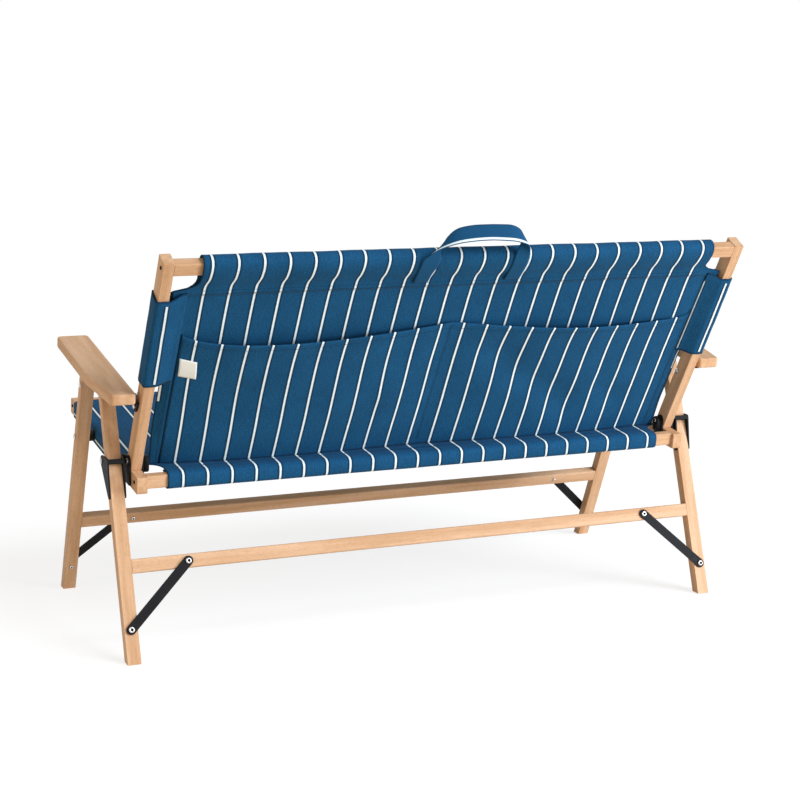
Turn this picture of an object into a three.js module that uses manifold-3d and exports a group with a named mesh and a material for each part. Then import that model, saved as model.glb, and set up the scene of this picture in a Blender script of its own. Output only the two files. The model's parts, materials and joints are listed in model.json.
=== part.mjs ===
// Folding camping loveseat: a beech frame with a striped fabric sling.
// Millimetres. X runs across the seat, +Y is the rear, +Z is up, the feet stand on z = 0.
import * as THREE from "three";
import { mergeVertices } from "three/addons/utils/BufferGeometryUtils.js";
import Module from "manifold-3d";

const wasm = await Module();
wasm.setup();

// Across the seat
const SEAT_WIDTH = 993; // between the inner faces of the rails
const RAIL_WIDTH = 18;
const LEG_GAP = 12.5; // from a rail's outer face to a leg's inner face
const LEG_WIDTH = 23;
const SLING_GAP = 17.5; // from a rail's inner face to the sling's edge
const GAP = 0.3; // running clearance between touching pieces

// Side view: where the seat turns on the front legs, and how each member leans
const SEAT_PIVOT_Y = -127;
const SEAT_PIVOT_Z = 308;
const SEAT_SLOPE = 6.6; // degrees, front edge up
const BACK_LEAN = 29.4; // degrees behind the vertical
const FRONT_LEG_LEAN = 22.7; // degrees, top towards the rear
const REAR_LEG_LEAN = 19.1; // degrees, top towards the front
const ARM_SLOPE = 8.9; // degrees, front end up

// The parallelogram link between seat and armrests
const LINK_LENGTH = 111;
const LINK_LEAN = 25.5;
const HINGE_REACH = 222; // along the seat rail, from the seat pivot to the back hinge

// Rails and bars
const RAIL_DEPTH = 28;
const SEAT_RAIL_FRONT_LENGTH = 181.5; // ahead of the seat pivot
const SEAT_RAIL_TAIL = 48; // behind the back hinge
const BACK_RAIL_RISE = 401; // above the back hinge
const HEEL_GAP = 0.4; // under the back rail's heel, which bears on the seat rail
const BAR_DEPTH = 18;
const BAR_HEIGHT = 22;
const BAR_ROUND = 3;
const SEAT_BAR_INSET = 6; // from each end of the seat rails
const TOP_BAR_DROP = 1; // below the back rails' top ends
const EDGE = 1; // eased edges of the timber
const RAIL_ROUND = 4; // corners at the ends of rails and legs

// Legs, stretchers and straps
const FRONT_LEG_DEPTH = 18;
const FRONT_LEG_OFFSET = 2; // centre line behind the seat pivot
const FRONT_LEG_HEAD = 38; // above the arm pivot
const REAR_LEG_DEPTH = 18;
const REAR_LEG_HEAD = 14;
const STRETCHER_HEIGHT = 23;
const STRETCHER_DEPTH = 18;
const FRONT_STRETCHER_Z = 141;
const REAR_STRETCHER_Z = 145.5;
const STRAP_WIDTH = 16;
const STRAP_THICKNESS = 2.5;
const STRAP_REACH = 102; // inwards from the leg's inner face
const STRAP_FOOT_Z = 50;

// Armrests
const ARM_INNER_GAP = 8.5; // from the rail's outer face
const ARM_WIDTH = 54;
const ARM_REAR_WIDTH = 40;
const ARM_LENGTH = 315;
const ARM_TAPER = 106; // length of the narrowing rear end
const ARM_THICKNESS = 18.4;
const ARM_RISE = 48.3; // underside above the front arm pivot
const ARM_OVERHANG = 27.5; // behind the pin on the back rail
const ARM_ROUND = 9; // front corners
const ARM_REAR_ROUND = 6;
const ARM_EDGE = 2.5;
const ARM_LEG_REACH = 125; // from the front arm pivot to the rear leg's pivot
const ARM_LEG_DROP = 21.8; // the rear leg's pivot below the armrest

// Ironwork
const PLATE = 3;
const EYE = 9.5; // plate radius round a rivet
const PLATE_ROUND = 5; // lower corners of the hinge plates
const PLATE_INSET = 3; // hinge plates above the seat rail's lower edge
const FLANGE_REACH = 16; // bracket flange either side of its rivet
const STIRRUP_LEAD = 16.85; // the stirrup's pin ahead of the rear leg's centre line
const STIRRUP_RISE = 21.4; // above the seat rail's centre line
const STIRRUP_TAIL = 61; // down the leg from the pin
const STIRRUP_PLATE = 2.5;
const STIRRUP_PLAY = 0.6; // behind the leg, which slides through as the seat folds
const STIRRUP_BAR = 9;
const STIRRUP_BAR_HEIGHT = 8;
const STIRRUP_BAR_EDGE = 2; // cheeks stand past the bar's edges
const STIRRUP_TAIL_R = 4.5;
const STIRRUP_TAIL_SET = 4; // the tail lies behind the leg's centre line
const RIVET_R = 2.5;
const RIVET_HEAD_R = 5;
const RIVET_HEAD = 2.8;

// Fabric
const CLOTH = 1.6;
const CLOTH_GAP = 0.4;
const PANEL_INSET = 9; // back panel ahead of the rails' rear faces
const SLEEVE_CLEARANCE = 16; // from a seat sleeve's end to a pivot
const SLEEVE_LAP = 4; // how far a sleeve is sewn onto the panel
const BAR_SLEEVE_INSET = 17; // sleeves on the seat bars, in from the panel's edge
const TOP_SLEEVE_INSET = 26;
const TOP_SLEEVE_DROP = 40; // from the top bar down to the sleeve's hem
const TAB_BOTTOM = 167; // side tabs on the back rails, above the hinge
const TAB_TOP = 333;
const POCKET_TOP = 260; // above the hinge
const POCKET_SAG = 20;
const POCKET_FOOT = 5;
const POCKET_INSET = 15;
const HANDLE_SPAN = 164; // between the middles of the handle's legs
const HANDLE_FOOT = 8; // above the top sleeve's hem
const HANDLE_TOP = 446; // above the hinge
const HANDLE_BAND = 32;
const HANDLE_THICKNESS = 2.4;
const HANDLE_SETBACK = 2.4; // the arch's middle ahead of the legs
const TAG_WIDTH = 29;
const TAG_HEIGHT = 37;
const TAG_ROUND = 1;
const TAG_INSET = 33.5; // tag's centre from the sling's edge
const TAG_RISE = 191; // above the hinge

// Places worked out from the driving dimensions
const rad = THREE.MathUtils.degToRad;
const railInner = SEAT_WIDTH / 2;
const railOuter = railInner + RAIL_WIDTH;
const legInner = railOuter + LEG_GAP;
const legOuter = legInner + LEG_WIDTH;
const armInner = railOuter + ARM_INNER_GAP;
const half = RAIL_DEPTH / 2;
const panelHalf = railInner - SLING_GAP;
const holeR = RIVET_R + GAP;
const frontLegRear = FRONT_LEG_OFFSET + FRONT_LEG_DEPTH / 2;

// A point given along (s) and across (t) a member, turned into the side view
function along(origin, degrees, s, t) {
  return new THREE.Vector2(s, t).rotateAround(new THREE.Vector2(), rad(degrees)).add(origin);
}

const seatPivot = new THREE.Vector2(SEAT_PIVOT_Y, SEAT_PIVOT_Z);
const link = along(new THREE.Vector2(), -LINK_LEAN, 0, LINK_LENGTH);
const backPivot = along(seatPivot, -SEAT_SLOPE, HINGE_REACH, RAIL_DEPTH);
const armPivot = seatPivot.clone().add(link);
const armBackPivot = backPivot.clone().add(link);
const rearLegPivot = along(armPivot, -ARM_SLOPE, ARM_LEG_REACH, ARM_RISE - ARM_LEG_DROP);

// The stirrup's pin, as far along the seat rail as the rear leg allows
const pinAt = (reach) => along(seatPivot, -SEAT_SLOPE, reach, STIRRUP_RISE);
const leadAtPivot = -seenFrom(rearLegPivot, REAR_LEG_LEAN, pinAt(0)).x;
const stirrupReach = (leadAtPivot - STIRRUP_LEAD) / Math.cos(rad(SEAT_SLOPE + REAR_LEG_LEAN));
const stirrupPivot = pinAt(stirrupReach);

// The same points seen from one member's own axes
function seenFrom(origin, degrees, point) {
  return point.clone().sub(origin).rotateAround(new THREE.Vector2(), -rad(degrees));
}

// Materials
const material = (color, roughness, metalness = 0) =>
  new THREE.MeshStandardMaterial({ color, roughness, metalness });
const beech = material(0xdcae7f, 0.5);
const black = material(0x161616, 0.4, 0.3);
const chrome = material(0xc8c8c8, 0.2, 1);
const cloth = material(0x1f5880, 0.9);
const cream = material(0xe9e2cf, 0.9);

// Solids
function solidOf(geometry) {
  const bare = geometry.clone();
  bare.deleteAttribute("normal");
  bare.deleteAttribute("uv");
  const merged = mergeVertices(bare, 1e-4);
  return new wasm.Manifold(
    new wasm.Mesh({
      numProp: 3,
      vertProperties: new Float32Array(merged.attributes.position.array),
      triVerts: new Uint32Array(merged.index.array),
    }),
  );
}

function geometryOf(solid) {
  const mesh = solid.getMesh();
  const geometry = new THREE.BufferGeometry();
  geometry.setAttribute("position", new THREE.BufferAttribute(mesh.vertProperties, 3));
  geometry.setIndex(new THREE.BufferAttribute(mesh.triVerts, 1));
  geometry.computeVertexNormals();
  return geometry;
}

const join = (...parts) => geometryOf(parts.map(solidOf).reduce((a, b) => a.add(b)));

// A closed outline with its corners rounded by a radius, one for all or one each
function outline(points, radius = 0) {
  const shape = new THREE.Shape();
  const corners = points
    .map(([x, y]) => new THREE.Vector2(x, y))
    .filter((point, i, all) => !point.equals(all.at(i - 1)));
  const towards = (a, b, d) => a.clone().add(b.clone().sub(a).setLength(d));
  corners.forEach((corner, i) => {
    const before = corners.at(i - 1);
    const after = corners[(i + 1) % corners.length];
    const wanted = Array.isArray(radius) ? radius[i] : radius;
    const r = Math.min(wanted, corner.distanceTo(before) / 2.01, corner.distanceTo(after) / 2.01);
    const start = r > 0 ? towards(corner, before, r) : corner;
    if (i === 0) shape.moveTo(start.x, start.y);
    else shape.lineTo(start.x, start.y);
    if (r > 0) {
      const end = towards(corner, after, r);
      shape.quadraticCurveTo(corner.x, corner.y, end.x, end.y);
    }
  });
  shape.closePath();
  return shape;
}

const rectangle = (a0, a1, b0, b1, radius) =>
  outline([[a0, b0], [a1, b0], [a1, b1], [a0, b1]], radius);

// The outline that wraps a row of circles, such as the eyes of a plate
function wrapped(circles, steps = 28) {
  const points = circles.flatMap(([x, y, r]) =>
    Array.from({ length: steps }, (_, i) => {
      const a = (i / steps) * 2 * Math.PI;
      return new THREE.Vector2(x + r * Math.cos(a), y + r * Math.sin(a));
    }),
  );
  points.sort((a, b) => a.x - b.x || a.y - b.y);
  const turn = (o, a, b) => a.clone().sub(o).cross(b.clone().sub(o));
  const chain = (list) => {
    const kept = [];
    for (const p of list) {
      while (kept.length > 1 && turn(kept.at(-2), kept.at(-1), p) <= 1e-6) kept.pop();
      kept.push(p);
    }
    return kept.slice(0, -1);
  };
  return new THREE.Shape([...chain(points), ...chain([...points].reverse())]);
}

function pierced(shape, ...holes) {
  for (const [s, t] of holes) {
    shape.holes.push(new THREE.Path().absarc(s, t, holeR, 0, 2 * Math.PI));
  }
  return shape;
}

const SIDE = new THREE.Matrix4().makeBasis(
  new THREE.Vector3(0, 1, 0), new THREE.Vector3(0, 0, 1), new THREE.Vector3(1, 0, 0));
const FRONT = new THREE.Matrix4().makeBasis(
  new THREE.Vector3(1, 0, 0), new THREE.Vector3(0, 0, 1), new THREE.Vector3(0, -1, 0));

function extrude(shape, depth, edge) {
  return new THREE.ExtrudeGeometry(shape, {
    depth: depth - 2 * edge,
    bevelEnabled: edge > 0,
    bevelSize: edge,
    bevelOffset: -edge,
    bevelThickness: edge,
    bevelSegments: 2,
    curveSegments: 5,
  }).translate(0, 0, edge);
}

// A side outline (s along, t across) extruded in X from x0 to x1
function across(shape, x0, x1, edge = 0) {
  const left = Math.min(x0, x1);
  return extrude(shape, Math.abs(x1 - x0), edge).applyMatrix4(SIDE).translate(left, 0, 0);
}

// An outline in X and t extruded along s from s0 to s1
function lengthwise(shape, s0, s1, edge = 0) {
  return extrude(shape, s1 - s0, edge).applyMatrix4(FRONT).translate(0, s1, 0);
}

// A rivet along X with a domed head past x1, and one past x0 unless that end is blind
function rivet(x0, x1, blind = false) {
  const far = Math.abs(x1 - x0) + GAP;
  const [wide, dome] = [RIVET_HEAD_R * 0.6, RIVET_HEAD * 0.55];
  const near = blind
    ? [[0, GAP], [RIVET_R, GAP]]
    : [[0, -GAP - RIVET_HEAD], [wide, -GAP - RIVET_HEAD], [RIVET_HEAD_R, -GAP - dome],
      [RIVET_HEAD_R, -GAP], [RIVET_R, -GAP]];
  const head = [[RIVET_R, far], [RIVET_HEAD_R, far], [RIVET_HEAD_R, far + dome],
    [wide, far + RIVET_HEAD], [0, far + RIVET_HEAD]];
  const profile = [...near, ...head].map(([r, x]) => new THREE.Vector2(r, x));
  const turn = -Math.sign(x1 - x0) * Math.PI / 2;
  return new THREE.LatheGeometry(profile, 16).rotateZ(turn).translate(x0, 0, 0);
}

// Bodies: each is a group at its pivot, turned to its lean
const loveseat = new THREE.Group();

function member(origin, degrees) {
  const group = new THREE.Group();
  group.position.set(0, origin.x, origin.y);
  group.rotation.x = rad(degrees);
  loveseat.add(group);
  return group;
}

const seatFrame = member(seatPivot, -SEAT_SLOPE);
const backFrame = member(backPivot, -BACK_LEAN);
const frontLegs = member(seatPivot, -FRONT_LEG_LEAN);
const armrests = member(armPivot, -ARM_SLOPE);
const rearLegs = member(rearLegPivot, REAR_LEG_LEAN);
const stirrups = member(stirrupPivot, REAR_LEG_LEAN);

function add(group, name, geometry, finish, s = 0, t = 0) {
  const mesh = new THREE.Mesh(geometry, finish);
  mesh.name = name;
  mesh.position.set(0, s, t);
  group.add(mesh);
}

const SIDES = [["L", 1], ["R", -1]];
const barHalf = railInner - GAP;

// Seat frame: two rails, a bar at each end
const seatRailRear = HINGE_REACH + SEAT_RAIL_TAIL;
const frontBarS = -SEAT_RAIL_FRONT_LENGTH + SEAT_BAR_INSET;
const rearBarS = seatRailRear - SEAT_BAR_INSET - BAR_DEPTH;
const barT = half - BAR_HEIGHT;
const barSection = (s) => rectangle(s, s + BAR_DEPTH, barT, half, BAR_ROUND);

for (const [side, sign] of SIDES) {
  const rail = rectangle(-SEAT_RAIL_FRONT_LENGTH, seatRailRear, -half, half, RAIL_ROUND);
  const railSolid = across(pierced(rail, [0, 0]), sign * railInner, sign * railOuter, EDGE);
  add(seatFrame, "seat_rail_" + side, railSolid, beech);
}
add(seatFrame, "seat_front_bar", across(barSection(frontBarS), -barHalf, barHalf), beech);
add(seatFrame, "seat_rear_bar", across(barSection(rearBarS), -barHalf, barHalf), beech);

// Seat ironwork: spacers at the legs, hinge plates and stirrup mounts at the back
const hinge = [HINGE_REACH, RAIL_DEPTH];
const pin = [stirrupReach, STIRRUP_RISE];
const footT = -half + PLATE_INSET + PLATE_ROUND;

for (const [side, sign] of SIDES) {
  const inside = railInner - GAP;
  const outside = railOuter + GAP;
  const spacer = pierced(wrapped([[0, 0, EYE]]), [0, 0]);
  add(seatFrame, "front_leg_spacer_" + side,
    across(spacer, sign * outside, sign * (legInner - GAP)), black);
  add(seatFrame, "front_leg_rivet_" + side, rivet(sign * railInner, sign * legOuter), chrome);

  const hingeFeet = [HINGE_REACH - EYE, HINGE_REACH + EYE].map((s) => [s, footT, PLATE_ROUND]);
  const hingePlate = pierced(wrapped([[...hinge, EYE], ...hingeFeet]), hinge);
  add(seatFrame, "back_hinge_plate_" + side,
    across(hingePlate, sign * (inside - PLATE), sign * inside), black);
  add(seatFrame, "back_hinge_rivet_" + side,
    rivet(sign * (inside - PLATE), sign * (outside + PLATE)), chrome, ...hinge);

  const mountFeet = [stirrupReach, HINGE_REACH + EYE].map((s) => [s, footT, PLATE_ROUND]);
  const mount = pierced(wrapped([[...hinge, EYE], [...pin, EYE], ...mountFeet]), hinge, pin);
  const boss = pierced(wrapped([[...pin, EYE * 0.8]]), pin);
  const bossFace = legInner - GAP - STIRRUP_PLATE - GAP;
  add(seatFrame, "stirrup_mount_" + side,
    join(across(mount, sign * outside, sign * (outside + PLATE)),
      across(boss, sign * (outside + PLATE / 2), sign * bossFace)), black);
  add(seatFrame, "stirrup_rivet_" + side,
    rivet(sign * outside, sign * (legOuter + GAP + STIRRUP_PLATE), true), chrome, ...pin);
}

// Back frame: two rails with rounded heels, and the top bar
const linkOnBack = seenFrom(new THREE.Vector2(), -BACK_LEAN, link);
const heelR = half - HEEL_GAP;
const heelTurn = rad(BACK_LEAN - SEAT_SLOPE);

function backRail() {
  const down = -Math.PI / 2 + heelTurn;
  const run = (half - heelR * Math.cos(down)) / Math.cos(heelTurn);
  const shape = new THREE.Shape();
  shape.moveTo(half, BACK_RAIL_RISE);
  shape.lineTo(-half, BACK_RAIL_RISE);
  shape.lineTo(-half, heelR);
  shape.lineTo(-heelR, 0);
  shape.absarc(0, 0, heelR, Math.PI, down + 2 * Math.PI, false);
  shape.lineTo(half, heelR * Math.sin(down) + run * Math.sin(heelTurn));
  shape.closePath();
  return pierced(shape, [0, 0], [linkOnBack.x, linkOnBack.y]);
}

const topBarT = BACK_RAIL_RISE - TOP_BAR_DROP - BAR_HEIGHT;
const topBarS = half - BAR_DEPTH;
const topBar = rectangle(topBarS, half, topBarT, topBarT + BAR_HEIGHT, BAR_ROUND);
for (const [side, sign] of SIDES) {
  add(backFrame, "back_rail_" + side,
    across(backRail(), sign * railInner, sign * railOuter, EDGE), beech);
}
add(backFrame, "back_top_bar", across(topBar, -barHalf, barHalf), beech);

// A leg's outline, cut level at the floor
function leg(origin, degrees, s0, s1, top, ...holes) {
  const floor = (s) => -(origin.y + s * Math.sin(rad(degrees))) / Math.cos(rad(degrees));
  const corners = [[s0, floor(s0)], [s1, floor(s1)], [s1, top], [s0, top]];
  return pierced(outline(corners, [0, 0, RAIL_ROUND, RAIL_ROUND]), ...holes);
}

// How far down a leg a height lies
const downLeg = (origin, degrees, z) => (z - origin.y) / Math.cos(rad(degrees));

// Straight flat strap with round ends between two points in X and t
function strap(from, to) {
  return wrapped([[...from, STRAP_WIDTH / 2], [...to, STRAP_WIDTH / 2]]);
}

// Front legs
const linkOnLeg = seenFrom(new THREE.Vector2(), -FRONT_LEG_LEAN, link);
const legCentreX = (legInner + legOuter) / 2;
const strapX = legInner - STRAP_REACH + STRAP_WIDTH / 2;
const stretcherHalf = legInner - GAP;

const frontStretcherT = downLeg(seatPivot, -FRONT_LEG_LEAN, FRONT_STRETCHER_Z);
const frontFaceS = frontLegRear - FRONT_LEG_DEPTH;
for (const [side, sign] of SIDES) {
  const head = linkOnLeg.y + FRONT_LEG_HEAD;
  const shape = leg(seatPivot, -FRONT_LEG_LEAN, frontFaceS, frontLegRear, head,
    [0, 0], [linkOnLeg.x, linkOnLeg.y]);
  add(frontLegs, "front_leg_" + side, across(shape, sign * legInner, sign * legOuter, EDGE), beech);
  const strapT = downLeg(seatPivot, -FRONT_LEG_LEAN, STRAP_FOOT_Z);
  const flat = strap([sign * strapX, frontStretcherT], [sign * legCentreX, strapT]);
  add(frontLegs, "front_strap_" + side,
    lengthwise(flat, frontFaceS - GAP - STRAP_THICKNESS, frontFaceS - GAP), black);
}
const stretcher = (rear, t) => rectangle(rear - STRETCHER_DEPTH, rear,
  t - STRETCHER_HEIGHT / 2, t + STRETCHER_HEIGHT / 2, BAR_ROUND);
add(frontLegs, "front_stretcher",
  across(stretcher(frontLegRear, frontStretcherT), -stretcherHalf, stretcherHalf), beech);

// Rear legs
const rearFaceS = REAR_LEG_DEPTH / 2;
const rearStretcherT = downLeg(rearLegPivot, REAR_LEG_LEAN, REAR_STRETCHER_Z);
for (const [side, sign] of SIDES) {
  const shape = leg(rearLegPivot, REAR_LEG_LEAN, -rearFaceS, rearFaceS, REAR_LEG_HEAD, [0, 0]);
  add(rearLegs, "rear_leg_" + side, across(shape, sign * legInner, sign * legOuter, EDGE), beech);
  const strapT = downLeg(rearLegPivot, REAR_LEG_LEAN, STRAP_FOOT_Z);
  const flat = strap([sign * strapX, rearStretcherT], [sign * legCentreX, strapT]);
  add(rearLegs, "rear_strap_" + side,
    lengthwise(flat, rearFaceS + GAP, rearFaceS + GAP + STRAP_THICKNESS), black);
}
add(rearLegs, "rear_stretcher",
  across(stretcher(rearFaceS, rearStretcherT), -stretcherHalf, stretcherHalf), beech);

// Armrests with their brackets: an upright plate and a flange under the wood
const flangeTop = ARM_RISE - GAP;
const backOnArm = seenFrom(armPivot, -ARM_SLOPE, armBackPivot);
const armRear = backOnArm.x + ARM_OVERHANG;
const armFront = armRear - ARM_LENGTH;
const rearLegOnArm = [ARM_LEG_REACH, ARM_RISE - ARM_LEG_DROP];

function armBracket(sign, inner, outer, eye) {
  const feet = [-FLANGE_REACH, FLANGE_REACH].map((d) => [eye[0] + d, flangeTop - PLATE / 2, PLATE / 2]);
  const plate = pierced(wrapped([[...eye, EYE], ...feet]), eye);
  const flange = rectangle(eye[0] - FLANGE_REACH, eye[0] + FLANGE_REACH, flangeTop - PLATE, flangeTop);
  return join(across(plate, sign * inner, sign * (inner + PLATE)),
    across(flange, sign * inner, sign * outer));
}

for (const [side, sign] of SIDES) {
  const x = (d) => sign * (armInner + d);
  const plan = outline([[x(0), armFront], [x(ARM_WIDTH), armFront],
    [x(ARM_WIDTH), armRear - ARM_TAPER], [x(ARM_REAR_WIDTH), armRear],
    [x(0), armRear]], [ARM_ROUND, ARM_ROUND, ARM_TAPER / 4, ARM_REAR_ROUND, ARM_REAR_ROUND]);
  const wood = extrude(plan, ARM_THICKNESS, ARM_EDGE).translate(0, 0, ARM_RISE);
  add(armrests, "armrest_" + side, wood, beech);

  const legSide = legInner - GAP - PLATE;
  const brackets = [
    ["arm_front", legSide, [0, 0], legSide, legOuter],
    ["arm_leg", legSide, rearLegOnArm, legSide, legOuter],
    ["arm_rear", railOuter + GAP, [backOnArm.x, backOnArm.y], railInner, railOuter + GAP + PLATE],
  ];
  for (const [name, inner, eye, from, to] of brackets) {
    add(armrests, name + "_bracket_" + side,
      armBracket(sign, inner, legInner + LEG_WIDTH * 0.8, eye), black);
    add(armrests, name + "_rivet_" + side, rivet(sign * from, sign * to), chrome, ...eye);
  }
}

// Stirrups: tapered plates either side of the rear leg, joined by a bar behind it
const barS = STIRRUP_LEAD + rearFaceS + STIRRUP_PLAY;
const cheekIn = legInner - GAP - STIRRUP_PLATE;
const cheekOut = legOuter + GAP;

for (const [side, sign] of SIDES) {
  const round = STIRRUP_BAR_HEIGHT / 2 + STIRRUP_BAR_EDGE;
  const barRear = barS + STIRRUP_BAR;
  const cheek = pierced(wrapped([[0, 0, EYE], [barRear - round, -round, round],
    [STIRRUP_LEAD + STIRRUP_TAIL_SET, -STIRRUP_TAIL, STIRRUP_TAIL_R]]), [0, 0]);
  const barTop = -STIRRUP_BAR_EDGE;
  const bar = rectangle(barS, barRear, barTop - STIRRUP_BAR_HEIGHT, barTop, 1);
  add(stirrups, "stirrup_" + side,
    join(across(cheek, sign * cheekIn, sign * (cheekIn + STIRRUP_PLATE)),
      across(cheek, sign * cheekOut, sign * (cheekOut + STIRRUP_PLATE)),
      across(bar, sign * cheekIn, sign * (cheekOut + STIRRUP_PLATE))), black);
}

// Seat sling: a panel sewn round both bars, with sleeves on the rails between the pivots
const wall = CLOTH_GAP + CLOTH;
const sleeveRing = (a0, a1, b0, b1) =>
  new THREE.Path(rectangle(a0 - CLOTH_GAP, a1 + CLOTH_GAP, b0 - CLOTH_GAP, b1 + CLOTH_GAP).getPoints());

function seatPanel() {
  const top = half + wall;
  const under = half + CLOTH_GAP;
  const low = barT - wall;
  const shape = outline([
    [frontBarS - wall, low], [frontBarS + BAR_DEPTH + wall, low],
    [frontBarS + BAR_DEPTH + wall, under], [rearBarS - wall, under], [rearBarS - wall, low],
    [rearBarS + BAR_DEPTH + wall, low], [rearBarS + BAR_DEPTH + wall, top], [frontBarS - wall, top],
  ], [BAR_ROUND, BAR_ROUND, 0, 0, BAR_ROUND, BAR_ROUND, BAR_ROUND, BAR_ROUND]);
  for (const s of [frontBarS, rearBarS]) {
    shape.holes.push(sleeveRing(s, s + BAR_DEPTH, barT, half));
  }
  const sheet = rectangle(frontBarS + BAR_DEPTH + wall, rearBarS - wall, under, top);
  const sleeve = panelHalf - BAR_SLEEVE_INSET;
  return join(across(shape, -sleeve, sleeve), across(sheet, -panelHalf, panelHalf));
}

// Section of a sleeve round a rail, with a tongue sewn to the panel from t0 to t1
function railSleeve(sign, t0, t1) {
  const tongue = panelHalf - SLEEVE_LAP;
  const [x0, x1] = [railInner - wall, railOuter + wall];
  const [low, high] = [-half - wall, half + wall];
  const corners = [[tongue, t0], [x0, t0], [x0, low], [x1, low],
    [x1, high], [x0, high], [x0, t1], [tongue, t1]];
  const shape = outline(corners.map(([x, t]) => [sign * x, t]));
  const [xa, xb] = [sign * railInner, sign * railOuter].sort((a, b) => a - b);
  shape.holes.push(sleeveRing(xa, xb, -half, half));
  return shape;
}

const sleeveRuns = [
  [frontBarS + BAR_DEPTH + wall, -SLEEVE_CLEARANCE],
  [SLEEVE_CLEARANCE, stirrupReach - SLEEVE_CLEARANCE],
];
const seatSleeves = SIDES.flatMap(([, sign]) => sleeveRuns.map(([s0, s1]) =>
  lengthwise(railSleeve(sign, half + CLOTH_GAP, half + wall), s0, s1)));
add(seatFrame, "seat_sling", join(seatPanel(), ...seatSleeves), cloth);

// Back sling: a panel hung from the top bar, with tabs on the back rails
const panelS = half - PANEL_INSET;
const panelFoot = POCKET_FOOT - half;

// Its top is a sleeve round the bar that narrows down to a hem
const sleeveHem = topBarT - TOP_SLEEVE_DROP;
const sleeveRear = half + wall;

function backPanel() {
  const [s0, s1, t1] = [topBarS - wall, sleeveRear, topBarT + BAR_HEIGHT + wall];
  const shape = outline([[panelS, panelFoot], [panelS + CLOTH, panelFoot], [panelS + CLOTH, sleeveHem],
    [s1, topBarT], [s1, t1], [s0, t1], [s0, topBarT], [panelS, sleeveHem]],
  [0, 0, 0, BAR_ROUND, BAR_ROUND, BAR_ROUND, BAR_ROUND, 0]);
  const apart = CLOTH / (s1 - s0 - CLOTH); // share of the drop where the sleeve's faces part
  const parting = [panelS + apart * (s1 - CLOTH - panelS), sleeveHem + apart * TOP_SLEEVE_DROP];
  const inside = outline([parting, [s1 - CLOTH, topBarT], [s1 - CLOTH, t1 - CLOTH],
    [s0 + CLOTH, t1 - CLOTH], [s0 + CLOTH, topBarT]]);
  shape.holes.push(new THREE.Path(inside.getPoints()));
  const sleeve = panelHalf - TOP_SLEEVE_INSET;
  const sheet = rectangle(panelS, panelS + CLOTH, panelFoot, sleeveHem);
  return join(across(shape, -sleeve, sleeve), across(sheet, -panelHalf, panelHalf));
}

// A tab has a rail sleeve's section, drawn in X and s and raised along the back rail
function backTab(sign) {
  const section = railSleeve(sign, panelS, panelS + CLOTH);
  return extrude(section, TAB_TOP - TAB_BOTTOM, 0).translate(0, 0, TAB_BOTTOM);
}
add(backFrame, "back_sling", join(backPanel(), ...SIDES.map(([, sign]) => backTab(sign))), cloth);

// Pocket panel across the back, its two mouths sagging between the seams
const pocketS = panelS + CLOTH + CLOTH_GAP;
function pocket() {
  const reach = panelHalf - POCKET_INSET;
  const low = POCKET_TOP - 2 * POCKET_SAG;
  const shape = new THREE.Shape();
  shape.moveTo(-reach, POCKET_FOOT);
  shape.lineTo(reach, POCKET_FOOT);
  shape.lineTo(reach, POCKET_TOP);
  shape.quadraticCurveTo(reach * 0.6, low, 0, POCKET_TOP);
  shape.quadraticCurveTo(-reach * 0.6, low, -reach, POCKET_TOP);
  shape.closePath();
  return lengthwise(shape, pocketS, pocketS + CLOTH);
}
add(backFrame, "pocket_panel", pocket(), cloth);

// Blank tag sewn on the pocket
const tagS = pocketS + CLOTH + CLOTH_GAP;
const tagX = panelHalf - TAG_INSET;
const tag = rectangle(tagX - TAG_WIDTH / 2, tagX + TAG_WIDTH / 2,
  TAG_RISE - TAG_HEIGHT / 2, TAG_RISE + TAG_HEIGHT / 2, TAG_ROUND);
add(backFrame, "label_tag", lengthwise(tag, tagS, tagS + CLOTH / 2), cream);

// A closed band through sections of four corners each
function bandOf(sections) {
  const faces = [0, 1, 2, 0, 2, 3];
  for (let first = 0; first < 4 * (sections.length - 1); first += 4) {
    for (let k = 0; k < 4; k++) {
      const [a, b] = [first + k, first + (k + 1) % 4];
      faces.push(a, b + 4, b, a, a + 4, b + 4);
    }
  }
  const last = 4 * (sections.length - 1);
  faces.push(last, last + 2, last + 1, last, last + 3, last + 2);
  const geometry = new THREE.BufferGeometry().setFromPoints(sections.flat());
  geometry.setIndex(faces);
  const flat = geometry.toNonIndexed();
  flat.computeVertexNormals();
  return flat;
}

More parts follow.
